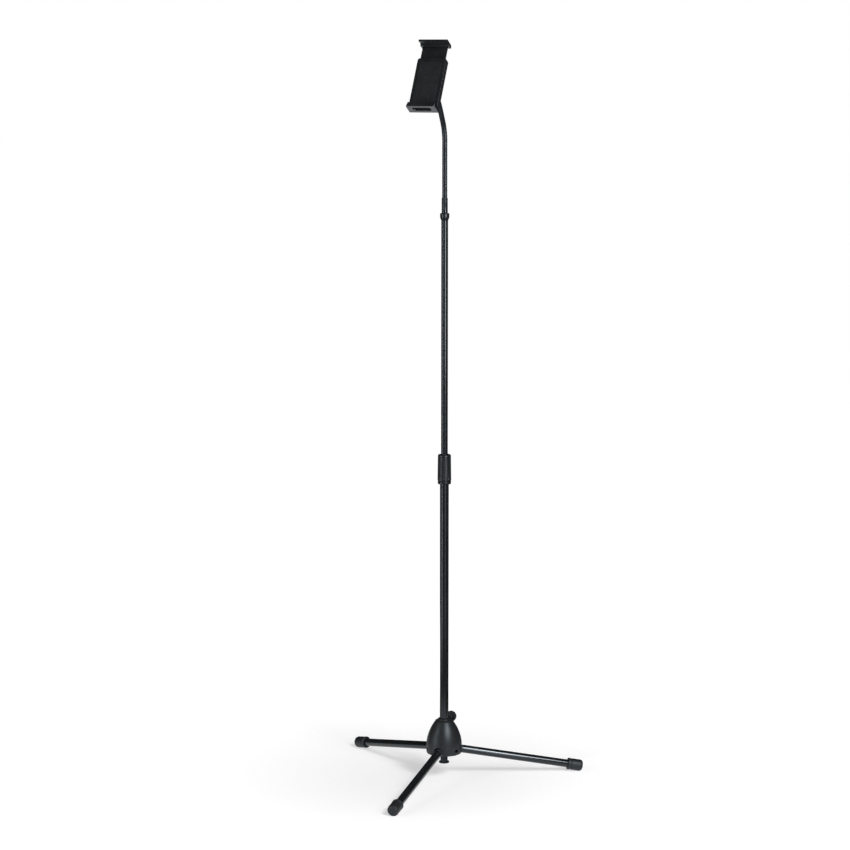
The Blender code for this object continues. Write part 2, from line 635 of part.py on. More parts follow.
def build_upper_jaw(holder):
    """A thin plate with a deep back. The jaw and its slide plate move along the local Z axis."""
    top = HOLDER_LENGTH / 2
    base = top - 0.0088
    under = top - 0.0044
    half = HOLDER_WIDTH / 2
    back = -HOLDER_BACK
    front = back - HOLDER_DEPTH
    jaw = block("upper_jaw", (-half, front, under), (half, back, top), "holder_plastic", holder, edge=0.0016)
    heel = block("upper_heel_shape", (-half + 0.0006, back - BODY_DEPTH - 0.0015, base),
                 (half - 0.0006, back - 0.0006, top - 0.0018), None, holder, edge=0.0008, segments=1)
    combine(jaw, heel, "UNION")
    lip = block("upper_lip_shape", (-half + 0.002, front + 0.0004, under - UPPER_LIP_HEIGHT),
                (half - 0.002, front + LIP_THICKNESS, top - 0.0018), None, holder, edge=0.0004, segments=1)
    combine(jaw, lip, "UNION")
    wide = SLIDE_WIDTH / 2
    block("slide_plate", (-wide, back - SLIDE_DEPTH[1], base - GAP - SLIDE_LENGTH),
          (wide, back - SLIDE_DEPTH[0], base - GAP), "holder_plastic", holder, edge=0.0010, segments=1)
    block("upper_pad", (-half + 0.006, front + LIP_THICKNESS + 0.0010, under - GAP - 0.0012),
          (half - 0.006, back - BODY_DEPTH - 0.0022, under - GAP), "black_rubber", holder, edge=0.0004, segments=1)


def build_legs(frame):
    leg_frames = []
    for index, azimuth in enumerate(LEG_AZIMUTHS, 1):
        angle = radians(azimuth)
        pivot = (PIVOT_RADIUS * cos(angle), PIVOT_RADIUS * sin(angle), PIVOT_Z)
        leg = make_empty(f"leg_{index}_hinge", frame, pivot, (0, 0, angle))
        leg_frames.append(leg)
        build_leg(leg, index)
    return leg_frames


def build():
    frame = make_empty("stand_frame", None, (0, POLE_Y, 0))
    block("floor_cutter", (-0.5, -0.5, -0.02), (0.5, 0.5, 0.0), None, frame)
    build_hub_housing(frame, build_legs(frame))
    build_hub_trim(frame)
    build_hub_knob(frame)
    build_pole(frame)
    build_lock_nut(frame)
    build_ferrule(frame)
    build_gooseneck(frame)
    forward, height, _ = neck_point(NECK_LENGTH)
    centre = (0, -forward, height)
    build_neck_end(make_empty("neck_end_axis", frame, centre, (NECK_LEAN, 0, 0)))
    holder = make_empty("holder_axis", frame, centre, (-HOLDER_LEAN, 0, 0))
    build_ball_stud(holder)
    build_holder_body(holder)
    build_lower_jaw(holder)
    build_upper_jaw(holder)


clear_scene()
PARTS = make_collection("phone_floor_stand")
TOOLS = make_collection("cutters_and_shapes")
build()
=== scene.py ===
import json
from math import atan2, cos, hypot, pi, radians, sin, sqrt, tau

import bmesh
import bpy
from mathutils import Matrix, Vector


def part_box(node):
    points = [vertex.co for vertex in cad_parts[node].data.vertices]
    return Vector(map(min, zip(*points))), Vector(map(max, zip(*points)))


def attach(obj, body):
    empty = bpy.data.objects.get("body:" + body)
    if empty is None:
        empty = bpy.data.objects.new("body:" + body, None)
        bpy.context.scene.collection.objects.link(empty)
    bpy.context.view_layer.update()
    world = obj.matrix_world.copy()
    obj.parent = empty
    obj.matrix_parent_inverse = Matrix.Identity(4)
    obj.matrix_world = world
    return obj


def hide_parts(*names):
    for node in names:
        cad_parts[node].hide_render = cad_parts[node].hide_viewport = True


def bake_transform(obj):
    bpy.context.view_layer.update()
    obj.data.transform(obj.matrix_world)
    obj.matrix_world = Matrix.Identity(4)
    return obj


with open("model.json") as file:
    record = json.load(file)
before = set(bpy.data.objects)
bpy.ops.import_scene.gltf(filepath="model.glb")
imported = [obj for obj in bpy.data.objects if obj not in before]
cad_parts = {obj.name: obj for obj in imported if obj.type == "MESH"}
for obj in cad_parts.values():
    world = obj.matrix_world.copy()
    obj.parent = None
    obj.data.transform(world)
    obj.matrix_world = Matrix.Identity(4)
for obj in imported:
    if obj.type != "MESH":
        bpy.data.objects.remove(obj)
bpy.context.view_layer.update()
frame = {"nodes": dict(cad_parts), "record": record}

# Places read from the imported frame
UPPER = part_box("upper_tube")
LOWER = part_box("lower_tube")
POLE_Y = (UPPER[0].y + UPPER[1].y) / 2
POLE = Matrix.Translation((0, POLE_Y, 0))
STILL = Matrix.Identity(4)

# Sizes and joint frames of the stand in metres and degrees, the same as the CAD's.
# GAP is the clearance between two pieces that fit into each other.
GAP = 0.0003
LOWER_TUBE_RADIUS, UPPER_TUBE_RADIUS, LEG_TUBE_RADIUS, NECK_RADIUS = 0.0105, 0.0080, 0.0095, 0.00615
HUB_RADIUS, HUB_SKIRT_Z, HUB_TOP_Z, HUB_BOTTOM_Z = 0.0427, 0.080, 0.145, 0.061
ARCH_HALF = 0.01025
PIN_RADIUS, PIN_BOSS_RADIUS, PIN_BOSS_END = 0.0025, 0.0056, 0.0327
LEG_AZIMUTHS = (270.0, 30.0, 150.0)
PIVOT_RADIUS, PIVOT_Z = 0.0242, 0.0715
FOOT_RADIUS, FOOT_AXIS_Z = 0.340, 0.0118
NECK_BASE_Z = 1.392
NECK_STRETCHES = ((0.1300, 0.0, 0.0), (0.0487, 0.0, 31.0), (0.0220, 31.0, 31.0), (0.0450, 31.0, 38.1),
                  (0.0440, 38.1, 38.1))
NECK_LENGTH = sum(stretch[0] for stretch in NECK_STRETCHES)
NECK_END = NECK_LENGTH - 0.0341
NECK_HINGES = [0.022 + 0.0387 * i for i in range(6)]
HOLDER_LEAN = radians(29.5)
KNOB = Matrix.Translation((0, 0, 0.1378)) @ Matrix.Rotation(-pi / 2, 4, "X")


# ---------------------------------------------------------------- materials
def new_material(name):
    """A node material with its tree and its Principled shader."""
    material = bpy.data.materials.new(name)
    material.use_nodes = True
    tree = material.node_tree
    return material, tree, tree.nodes["Principled BSDF"]


def node(tree, kind, **values):
    """Adds a node, and sets each value on the input or the property of that name."""
    made = tree.nodes.new(kind)
    for key, value in values.items():
        if key in made.inputs:
            made.inputs[key].default_value = value
        else:
            setattr(made, key, value)
    return made


def noise(tree, coords, scale, detail, stretch=(1, 1, 1), roughness=0.5):
    mapping = node(tree, "ShaderNodeMapping")
    mapping.inputs["Scale"].default_value = stretch
    tree.links.new(coords, mapping.inputs["Vector"])
    made = node(tree, "ShaderNodeTexNoise", Scale=scale, Detail=detail, Roughness=roughness)
    tree.links.new(mapping.outputs["Vector"], made.inputs["Vector"])
    return made.outputs["Fac"]


def remap(tree, value, low, high, start, end):
    """Turns values from start to end into values from low to high."""
    made = node(tree, "ShaderNodeMapRange")
    made.inputs["From Min"].default_value = start
    made.inputs["From Max"].default_value = end
    made.inputs["To Min"].default_value = low
    made.inputs["To Max"].default_value = high
    tree.links.new(value, made.inputs["Value"])
    return made.outputs["Result"]


def blend_colour(tree, value, dark, light):
    """Blends from a dark to a light colour over the middle of a noise's range."""
    made = node(tree, "ShaderNodeValToRGB")
    ramp = made.color_ramp.elements
    ramp[0].position, ramp[0].color = 0.3, (*dark, 1)
    ramp[1].position, ramp[1].color = 0.7, (*light, 1)
    tree.links.new(value, made.inputs["Fac"])
    return made.outputs["Color"]


def add_bumps(tree, shader, layers):
    """Chains Bump nodes: (height, depth in metres, strength)."""
    last = None
    for height, depth, strength in layers:
        bump = node(tree, "ShaderNodeBump")
        bump.inputs["Strength"].default_value = strength
        bump.inputs["Distance"].default_value = depth
        tree.links.new(height, bump.inputs["Height"])
        if last:
            tree.links.new(last, bump.inputs["Normal"])
        last = bump.outputs["Normal"]
    tree.links.new(last, shader.inputs["Normal"])


def finish_material(name, dark, light, rough, grain, grain_depth, cloud, metallic=0.0, coat=0.0,
                    specular=0.5, stretch=(1, 1, 1), wave_depth=0.0, dust=0.0):
    """A procedural finish: clouded colour, clouded and grainy roughness, and a grain in relief.

    Grain and cloud are noise scales per metre. Depths are in metres.
    """
    material, tree, shader = new_material(name)
    coords = node(tree, "ShaderNodeTexCoord").outputs["Object"]
    clouds = noise(tree, coords, cloud, 4.0)
    fine = noise(tree, coords, grain, 2.0, stretch)
    specks = noise(tree, coords, grain * 0.37, 5.0, stretch, 0.7)
    colour = blend_colour(tree, clouds, dark, light)
    if dust:
        mix = node(tree, "ShaderNodeMix", data_type="RGBA")
        tree.links.new(remap(tree, specks, 0.0, dust, 0.50, 0.75), mix.inputs["Factor"])
        tree.links.new(colour, mix.inputs["A"])
        mix.inputs["B"].default_value = (0.20, 0.20, 0.19, 1)
        colour = mix.outputs["Result"]
    tree.links.new(colour, shader.inputs["Base Color"])
    spread = node(tree, "ShaderNodeMath", operation="MULTIPLY_ADD")
    tree.links.new(fine, spread.inputs[0])
    spread.inputs[1].default_value = 0.5
    tree.links.new(clouds, spread.inputs[2])
    tree.links.new(remap(tree, spread.outputs[0], rough[0], rough[1], 0.5, 1.0), shader.inputs["Roughness"])
    shader.inputs["Metallic"].default_value = metallic
    shader.inputs["Specular IOR Level"].default_value = specular
    if not metallic:
        shader.inputs["Specular Tint"].default_value = (0.80, 0.92, 1.0, 1)
    shader.inputs["Coat Weight"].default_value = coat
    shader.inputs["Coat Roughness"].default_value = 0.12
    layers = [(fine, grain_depth, 0.6), (specks, grain_depth * 1.4, 0.35)]
    if wave_depth:
        layers.append((noise(tree, coords, 60.0, 2.0), wave_depth, 0.5))
    add_bumps(tree, shader, layers)
    return material


def grey(value):
    """A dark grey that is slightly blue, as the moulded parts are."""
    return (value, value * 1.04, value * 1.14)


def build_materials():
    """One finish for each material slot of the part."""
    return {
        "hub_plastic": finish_material("hub_moulded", grey(0.009), grey(0.013), (0.40, 0.48), 1500, 0.00003,
                                       cloud=22, specular=0.42, wave_depth=0.00006, dust=0.02),
        "black_steel": finish_material("tube_coat", grey(0.006), grey(0.008), (0.16, 0.22), 700, 0.000012,
                                       cloud=9, coat=0.10, wave_depth=0.00002),
        "black_rubber": finish_material("foot_rubber", grey(0.009), grey(0.013), (0.44, 0.56), 1100, 0.00005,
                                        cloud=40, specular=0.42, dust=0.06),
        "grip_plastic": finish_material("grip_moulded", grey(0.008), grey(0.012), (0.26, 0.36), 1700, 0.00003,
                                        cloud=50, dust=0.015),
        "inner_plastic": finish_material("inner_moulded", grey(0.030), grey(0.042), (0.42, 0.58), 1300,
                                         0.00005, cloud=40, dust=0.03),
        "brass": finish_material("brass_insert", (0.55, 0.36, 0.12), (0.72, 0.50, 0.20), (0.22, 0.40), 900,
                                 0.00003, cloud=120, metallic=1.0, stretch=(1, 1, 6)),
        "steel": finish_material("zinc_plate", (0.42, 0.43, 0.44), (0.60, 0.61, 0.62), (0.20, 0.38), 1100,
                                 0.00002, cloud=110, metallic=1.0, stretch=(1, 1, 5)),
        "neck_black": finish_material("neck_coat", (0.007, 0.008, 0.010), (0.011, 0.013, 0.016), (0.24, 0.34),
                                      1500, 0.00002, cloud=30),
        "holder_plastic": finish_material("holder_moulded", grey(0.009), grey(0.013), (0.28, 0.38), 1800,
                                          0.00003, cloud=35, wave_depth=0.00004, dust=0.015),
    }


MATERIALS = build_materials()


# ---------------------------------------------------------------- mesh tools
def keep_flats_flat(mesh):
    """Gives each smooth corner the area-weighted normal of its faces, so flat faces shade as flat."""
    sharp = [edge.use_edge_sharp for edge in mesh.edges]
    corners = [[] for _ in mesh.vertices]
    for face in mesh.polygons:
        loops = list(face.loop_indices)
        for place, loop in enumerate(loops):
            edges = (mesh.loops[loop].edge_index, mesh.loops[loops[place - 1]].edge_index)
            corners[mesh.loops[loop].vertex_index].append((loop, edges, face.normal * face.area))
    normals = [None] * len(mesh.loops)
    for fan in corners:
        waiting = list(fan)
        while waiting:
            group = [waiting.pop()]
            for corner in group:
                smooth = {edge for edge in corner[1] if not sharp[edge]}
                joined = [other for other in waiting if smooth.intersection(other[1])]
                waiting = [other for other in waiting if other not in joined]
                group += joined
            total = sum((corner[2] for corner in group), Vector()).normalized()
            for corner in group:
                normals[corner[0]] = total
    mesh.normals_split_custom_set(normals)


def finish_piece(name, shape, matrix, slot, body, replaces, sharp, flats=False):
    """Places a closed bmesh as a piece that rides on a body."""
    bmesh.ops.remove_doubles(shape, verts=shape.verts, dist=0.000002)
    bmesh.ops.recalc_face_normals(shape, faces=shape.faces)
    mesh = bpy.data.meshes.new(name)
    shape.to_mesh(mesh)
    shape.free()
    mesh.transform(matrix)
    mesh.shade_smooth()
    mesh.set_sharp_from_angle(angle=radians(sharp))
    if flats:
        keep_flats_flat(mesh)
    mesh.materials.append(MATERIALS[slot])
    obj = bpy.data.objects.new(name, mesh)
    bpy.context.scene.collection.objects.link(obj)
    if body:
        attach(obj, body)
    if replaces:
        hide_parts(*replaces)
    return obj


def filleted(points, closed):
    """Rounds the corners of a (radius, height, fillet) outline."""
    made = []
    count = len(points)
    for index, point in enumerate(points):
        here = Vector(point[:2])
        fillet = point[2] if len(point) > 2 else 0.0
        if not fillet or (not closed and index in (0, count - 1)):
            made.append(here)
            continue
        before = Vector(points[index - 1][:2]) - here
        after = Vector(points[(index + 1) % count][:2]) - here
        reach = min(fillet, before.length * 0.49, after.length * 0.49)
        start = here + before.normalized() * reach
        end = here + after.normalized() * reach
        steps = 5
        for step in range(steps + 1):
            t = step / steps
            made.append(start * (1 - t) ** 2 + here * 2 * t * (1 - t) + end * t ** 2)
    return made


def lathe_shape(points, steps, closed=False, wave=None):
    """Turns an outline round Z. The wave gives a radius for each (radius, height, angle)."""
    outline = filleted(points, closed)
    shape = bmesh.new()
    rings = []
    for point in outline:
        if point.x < 1e-7:
            rings.append([shape.verts.new((0, 0, point.y))])
            continue
        ring = []
        for step in range(steps):
            angle = tau * step / steps
            radius = wave(point.x, point.y, angle) if wave else point.x
            ring.append(shape.verts.new((radius * cos(angle), radius * sin(angle), point.y)))
        rings.append(ring)
    pairs = list(zip(rings, rings[1:]))
    if closed:
        pairs.append((rings[-1], rings[0]))
    for upper, lower in pairs:
        for step in range(steps):
            after = (step + 1) % steps
            if len(upper) == 1 and len(lower) == 1:
                break
            if len(upper) == 1:
                shape.faces.new((upper[0], lower[step], lower[after]))
            elif len(lower) == 1:
                shape.faces.new((upper[step], lower[0], upper[after]))
            else:
                shape.faces.new((upper[step], lower[step], lower[after], upper[after]))
    return shape


def lathe(name, points, matrix, slot, body, replaces, steps, closed=False, wave=None, sharp=40.0):
    """A turned piece that rides on a body."""
    return finish_piece(name, lathe_shape(points, steps, closed, wave), matrix, slot, body, replaces, sharp)


def rod_shape(radius, high, low, steps):
    """A plain solid cylinder between two heights."""
    return lathe_shape([(0, high), (radius, high), (radius, low), (0, low)], steps)


def box_shape(low, high):
    """A box between two corners."""
    shape = bmesh.new()
    bmesh.ops.create_cube(shape, size=1.0)
    size = Vector(high) - Vector(low)
    bmesh.ops.scale(shape, vec=size, verts=shape.verts)
    bmesh.ops.translate(shape, vec=(Vector(high) + Vector(low)) / 2, verts=shape.verts)
    return shape


def prism_shape(outline, low, high, axis="z"):
    """Extrudes a flat outline from low to high along an axis."""
    def place(a, b, level):
        return {"x": (level, a, b), "y": (a, level, b), "z": (a, b, level)}[axis]

    shape = bmesh.new()
    bottom = [shape.verts.new(place(a, b, low)) for a, b in outline]
    top = [shape.verts.new(place(a, b, high)) for a, b in outline]
    shape.faces.new(bottom)
    shape.faces.new(top)
    count = len(outline)
    for i in range(count):
        j = (i + 1) % count
        shape.faces.new((bottom[i], bottom[j], top[j], top[i]))
    return shape


def round_outline(half_width, half_height, radius, centre):
    """A rectangle with rounded corners."""
    steps = 6
    points = []
    for x, y, start in ((1, 1, 0), (-1, 1, 90), (-1, -1, 180), (1, -1, 270)):
        for step in range(steps + 1):
            angle = radians(start + 90 * step / steps)
            points.append((centre[0] + x * (half_width - radius) + radius * cos(angle),
                           centre[1] + y * (half_height - radius) + radius * sin(angle)))
    return points


def to_object(shape, matrix=STILL):
    """A plain object that holds a bmesh, with its faces pointing out."""
    bmesh.ops.recalc_face_normals(shape, faces=shape.faces)
    mesh = bpy.data.meshes.new("shape")
    shape.to_mesh(mesh)
    shape.free()
    mesh.transform(matrix)
    obj = bpy.data.objects.new("shape", mesh)
    bpy.context.scene.collection.objects.link(obj)
    return obj


def sculpt(name, base, tools, matrix, slot, body, replaces=(), edge=0.0, segments=2, sharp=40.0, limit=35.0):
    """Joins and cuts shapes with exact Booleans, rounds the edges, and makes a piece of the result."""
    obj = to_object(base)
    helpers = []
    for operation, shape, place in tools:
        tool = to_object(shape, place)
        helpers.append(tool)
        modifier = obj.modifiers.new(operation, "BOOLEAN")
        modifier.operation = operation
        modifier.solver = "EXACT"
        modifier.object = tool
    if edge:
        bevel = obj.modifiers.new("Edges", "BEVEL")
        bevel.width = edge
        bevel.segments = segments
        bevel.limit_method = "ANGLE"
        bevel.angle_limit = radians(limit)
        bevel.use_clamp_overlap = True
    bpy.context.view_layer.update()
    evaluated = obj.evaluated_get(bpy.context.evaluated_depsgraph_get())
    shape = bmesh.new()
    shape.from_mesh(evaluated.to_mesh())
    evaluated.to_mesh_clear()
    for helper in helpers + [obj]:
        bpy.data.objects.remove(helper, do_unlink=True)
    return finish_piece(name, shape, matrix, slot, body, replaces, sharp, flats=True)


def along_y(matrix):
    """A frame whose Z points the way that the given frame's -Y does."""
    return matrix @ Matrix.Rotation(pi / 2, 4, "X")


# ---------------------------------------------------------------- legs
def leg_hinge(azimuth):
    """A leg's hinge about the pole's axis: X points out along the leg, and Y along its pin."""
    angle = radians(azimuth)
    hinge = Matrix.Translation((PIVOT_RADIUS * cos(angle), PIVOT_RADIUS * sin(angle), PIVOT_Z))
    return hinge @ Matrix.Rotation(angle, 4, "Z")


def build_leg(index):
    """A leg's tube and foot cap, turned round the line from its hinge down to its foot."""
    run, drop = FOOT_RADIUS - PIVOT_RADIUS, PIVOT_Z - FOOT_AXIS_Z
    slope = POLE @ leg_hinge(LEG_AZIMUTHS[index - 1]) @ Matrix.Rotation(pi / 2 + atan2(drop, run), 4, "Y")
    end = hypot(run, drop)
    body = f"leg_{index}"
    outer, inner = LEG_TUBE_RADIUS, LEG_TUBE_RADIUS - 0.0012
    tube = [(outer, end - 0.008, 0.0004), (outer, 0.0199, 0.0004), (inner, 0.0199), (inner, end - 0.008)]
    lathe(f"leg_tube_{index}_coated", tube, slope, "black_steel", body, [f"leg_tube_{index}"], steps=64,
          closed=True)
    bore = outer + GAP
    profile = [(0, end - 0.0012), (0.0009, end - 0.0012), (0.0012, end - 0.0006, 0.0002),
               (0.0020, end - 0.0006), (0.0024, end - 0.0014), (0.0070, end - 0.0014, 0.0004),
               (0.0074, end, 0.0004), (0.0092, end, 0.0006), (0.0132, end - 0.0022, 0.0022),
               (0.0138, end - 0.0070, 0.001), (0.0138, end - 0.0275, 0.0006),
               (0.0130, end - 0.0284, 0.0004), (0.0130, end - 0.0304, 0.0004), (0.0142, end - 0.0312, 0.0006),
               (0.0142, end - 0.0362, 0.0007), (0.0118, end - 0.0370, 0.0004), (bore, end - 0.0370),
               (bore, end - 0.0077), (0, end - 0.0077)]
    cap = lathe(f"foot_cap_{index}_moulded", profile, slope, "black_rubber", body, [f"foot_cap_{index}"],
                steps=96)
    # The cap's lowest edge is flattened where it stands on the floor
    for vertex in cap.data.vertices:
        vertex.co.z = max(vertex.co.z, 0.0)


# ---------------------------------------------------------------- hub
def bell(z):
    """The hub's radius at a height: straight at the skirt, then drawn in to the top."""
    height = max(0.0, (z - HUB_SKIRT_Z) / (HUB_TOP_Z - HUB_SKIRT_Z))
    return HUB_RADIUS * (1 - 0.6 * height ** 2)


def build_hub():
    """The bell, with a cheek, an arch and a pin hole for each leg, and the knob's boss at the back."""
    wall = 0.0032
    rows = 22
    top = HUB_TOP_Z - 0.0015
    outside = [(0.0135, HUB_TOP_Z, 0.0), (0.0149, HUB_TOP_Z, 0.0006), (0.0153, 0.1441, 0.0004),
               (0.0153, 0.1431, 0.0004)]
    outside += [(bell(z), z) for z in [top - (top - HUB_SKIRT_Z) * i / rows for i in range(1, rows + 1)]]
    outside += [(HUB_RADIUS, z) for z in (0.0772, 0.0744, 0.0716, 0.0688, 0.0662)]
    outside += [(HUB_RADIUS, 0.0640, 0.0), (0.0418, HUB_BOTTOM_Z, 0.0028)]
    inside = [(bell(z) - wall, z)
              for z in (HUB_BOTTOM_Z, HUB_SKIRT_Z, 0.087, 0.094, 0.100, 0.106, 0.111, 0.116, 0.124)]
    neck = [(0.0170, 0.130), (0.0170, 0.104, 0.0006), (0.0135, 0.104, 0.0006)]
    tools = [("UNION", lathe_shape([(0, 0.027), (0.0062, 0.027, 0.0008), (0.0062, 0.0152), (0, 0.0152)], 48),
              KNOB)]
    hinges = [leg_hinge(azimuth) for azimuth in LEG_AZIMUTHS]
    inner = ARCH_HALF + GAP
    for leg in hinges:
        for side in (-1, 1):
            near, far = sorted((side * inner, side * (inner + wall)))
            tools.append(("UNION", box_shape((-0.0072, near, -0.0094), (0.0156, far, 0.0125)), leg))
        tools.append(("UNION", rod_shape(PIN_BOSS_RADIUS, PIN_BOSS_END, inner + 0.001, 48), along_y(leg)))
    for leg in hinges:
        arch = [(ARCH_HALF * cos(radians(a)), ARCH_HALF * sin(radians(a))) for a in range(90, 271, 10)]
        arch += [(0.020, -ARCH_HALF), (0.020, ARCH_HALF)]
        tools.append(("DIFFERENCE", prism_shape(arch, 0.008, 0.030), leg @ Matrix.Rotation(pi / 2, 4, "Y")))
        tools.append(("DIFFERENCE", rod_shape(PIN_RADIUS + GAP, 0.016, -0.016, 32), along_y(leg)))
        # With 40 steps one of these cuts is silently left out by the exact solver, so it has 44.
        tools.append(("DIFFERENCE", rod_shape(0.0040, 0.045, 0.0135, 44), along_y(leg)))
    tools.append(("DIFFERENCE", rod_shape(0.0046, 0.040, 0.012, 40), KNOB))
    shell = lathe_shape(outside + inside + neck, 120, closed=True)
    sculpt("hub_housing_moulded", shell, tools, POLE, "hub_plastic", "hub", ["hub_housing"], edge=0.0007,
           sharp=35, limit=42)


def build_hub_knob():
    """The clamping knob, with sixteen lobes round its head."""
    def lobes(radius, height, angle):
        if radius < 0.0115:
            return radius
        return radius - 0.0007 * (0.5 - 0.5 * cos(16 * angle)) ** 0.7

    profile = [(0, 0.0530), (0.0060, 0.0530, 0.0006), (0.0066, 0.0540, 0.0005), (0.0090, 0.0540, 0.0012),
               (0.0130, 0.0528, 0.0010), (0.0134, 0.0500, 0.001), (0.0134, 0.0440, 0.001),
               (0.0128, 0.0412, 0.0010), (0.0075, 0.0410, 0.0012), (0.0052, 0.0405, 0.0010),
               (0.0045, 0.0385, 0.0012), (0.0045, 0.0273, 0.0003), (0.0027, 0.0273), (0.0027, 0.0490),
               (0, 0.0490)]
    lathe("hub_knob_turned", profile, POLE @ KNOB, "grip_plastic", "hub_knob", ["hub_knob"], steps=144,
          wave=lobes)


# ---------------------------------------------------------------- pole
def build_pole():
    """The two tubes, and the plug at the pole's foot with its flange and grooved spigot."""
    for name, box, outer, inner, body in (("lower_tube", LOWER, LOWER_TUBE_RADIUS, 0.0093, "pole"),
                                          ("upper_tube", UPPER, UPPER_TUBE_RADIUS, 0.0069, "mast")):
        low, high = box[0].z, box[1].z
        lathe(f"{name}_coated", [(outer, high, 0.0004), (outer, low, 0.0004), (inner, low), (inner, high)],
              POLE, "black_steel", body, [name], steps=72, closed=True)
    neck, flange = 0.0087, 0.0125
    plug = [(0, 0.112), (0.0080, 0.112, 0.0004), (0.0090, 0.110), (0.0090, 0.0835), (0.0140, 0.0835, 0.0005),
            (0.0140, 0.0738, 0.0005), (neck, 0.0738), (neck, 0.0674), (flange, 0.0674, 0.0005),
            (flange, 0.0625, 0.0005), (neck, 0.0620, 0.0006), (neck, 0.0520, 0.0), (0.0084, 0.0515),
            (0.0084, 0.0505), (neck, 0.0500), (neck, 0.0390, 0.0008), (0.0120, 0.0390, 0.0006),
            (flange, 0.0383, 0.0006), (flange, 0.0361, 0.0007), (0.0118, 0.0355, 0.0005),
            (0.0060, 0.0355, 0.0004), (0.0056, 0.0361, 0.0004), (0, 0.0361)]
    lathe("tube_plug_moulded", plug, POLE, "hub_plastic", "pole", ["tube_plug"], steps=96)


def grip_wave(radius, height, angle):
    """Round-ended grooves that leave three wide panels, with three narrow ribs after each."""
    low, high = 0.7295, 0.7830
    if radius < 0.0146 or not low < height < high:
        return radius
    turn = (angle + radians(55.6)) % (tau / 3)
    grooves = (26.0, 48.7, 71.3, 94.0)
    across = min(abs(turn - radians(groove)) for groove in grooves) * radius
    half = 0.0014
    end = min(height - low, high - height)
    reach = half if end > half else sqrt(max(0.0, half ** 2 - (half - end) ** 2))
    depth = min(1.0, max(0.0, (reach - across + 0.0003) / 0.0007))
    return radius - 0.0013 * depth * depth * (3 - 2 * depth)


def build_clutch():
    """The clutch ring and the fluted twist grip above it."""
    sleeve = LOWER_TUBE_RADIUS + GAP
    ring = [(0.0148, 0.7240, 0.0004), (0.0158, 0.7232, 0.0008), (0.0159, 0.7200, 0.0012),
            (0.0152, 0.7168, 0.0012), (0.0142, 0.7165, 0.0003), (sleeve, 0.7165), (sleeve, 0.7240)]
    lathe("clutch_ring_moulded", ring, POLE, "grip_plastic", "pole", ["clutch_ring"], steps=96, closed=True)
    bottom, top, narrow, wide = 0.7246, 0.7875, 0.0154, 0.01635
    rows = 60
    side = []
    for row in range(1, rows):
        height = top - 0.0035 - (top - 0.0035 - bottom - 0.0012) * row / rows
        share = (top - height) / (top - bottom)
        side.append((narrow + (wide - narrow) * share, height))
    profile = [(0.0086, top, 0.0004), (0.0128, top, 0.0010), (0.0148, top - 0.0008, 0.0012),
               (narrow, top - 0.0032, 0.0008)]
    profile += side + [(wide, bottom + 0.0012, 0.0005), (0.0156, bottom, 0.0006), (0.0133, bottom)]
    profile += [(0.0133, 0.7680), (0.0109, 0.7844), (0.0086, 0.7844)]
    lathe("clutch_grip_moulded", profile, POLE, "grip_plastic", "clutch_grip", ["clutch_grip"], steps=280,
          closed=True, wave=grip_wave, sharp=50)


def build_lock_nut():
    """The flared nut under the ferrule, with shallow flutes on its wide part."""
    low, high, bore = 1.3403, 1.3570, 0.0034

    def flutes(radius, height, angle):
        if radius < 0.0100 or height < 1.3465 or height > 1.3562:
            return radius
        return radius - 0.00012 * (0.5 - 0.5 * cos(24 * angle))

    wide = 0.0110
    profile = [(bore, high), (0.0078, high, 0.0004), (0.0100, high - 0.0001, 0.0005),
               (wide, high - 0.0012, 0.0008)]
    profile += [(wide, high - 0.0016 - 0.0074 * i / 10) for i in range(1, 10)]
    profile += [(wide, high - 0.0092, 0.0010), (0.0103, high - 0.0115, 0.0020),
                (0.0088, low + 0.0012, 0.0006), (0.0083, low, 0.0005), (bore, low)]
    lathe("lock_nut_moulded", profile, POLE, "grip_plastic", "lock_nut", ["lock_nut"], steps=144, closed=True,
          wave=flutes)


# ---------------------------------------------------------------- gooseneck
def neck_point(distance):
    """The gooseneck's centre and forward lean at a distance along it from its base."""
    forward, height = 0.0, NECK_BASE_Z + min(distance, 0.0)
    left, lean = max(distance, 0.0), 0.0
    for length, start, end in NECK_STRETCHES:
        part = min(left, length)
        start, end = radians(start), radians(end)
        lean = start + (end - start) * part / length
        if abs(end - start) < 1e-9:
            forward += part * sin(start)
            height += part * cos(start)
        else:
            radius = length / (end - start)
            forward += radius * (cos(start) - cos(lean))
            height += radius * (sin(lean) - sin(start))
        left -= part
    return Vector((0, POLE_Y - forward, height)), lean


def neck_sleeve(name, low, high, replaces):
    """A length of the wound sleeve: one wire laid in a spiral, with shallow valleys between its turns."""
    pitch, rings_per_turn, around = 0.0019, 6, 40
    count = max(2, round((high - low) / pitch * rings_per_turn))
    shape = bmesh.new()
    rings = []
    for ring in range(count + 1):
        distance = low + (high - low) * ring / count
        centre, lean = neck_point(distance)
        side = Vector((0, -cos(lean), -sin(lean)))
        points = []
        for step in range(around):
            angle = tau * step / around
            turn = (distance / pitch + step / around) % 1.0
            radius = NECK_RADIUS - 0.00022 * (1 - sqrt(max(0.0, 1 - (2 * turn - 1) ** 2)))
            spoke = cos(angle) * Vector((1, 0, 0)) + sin(angle) * side
            points.append(shape.verts.new(centre + radius * spoke))
        rings.append(points)
    for lower, upper in zip(rings, rings[1:]):
        for step in range(around):
            after = (step + 1) % around
            shape.faces.new((lower[step], lower[after], upper[after], upper[step]))
    shape.faces.new(rings[0])
    shape.faces.new(rings[-1])
    return finish_piece(name, shape, STILL, "neck_black", None, replaces, sharp=60)


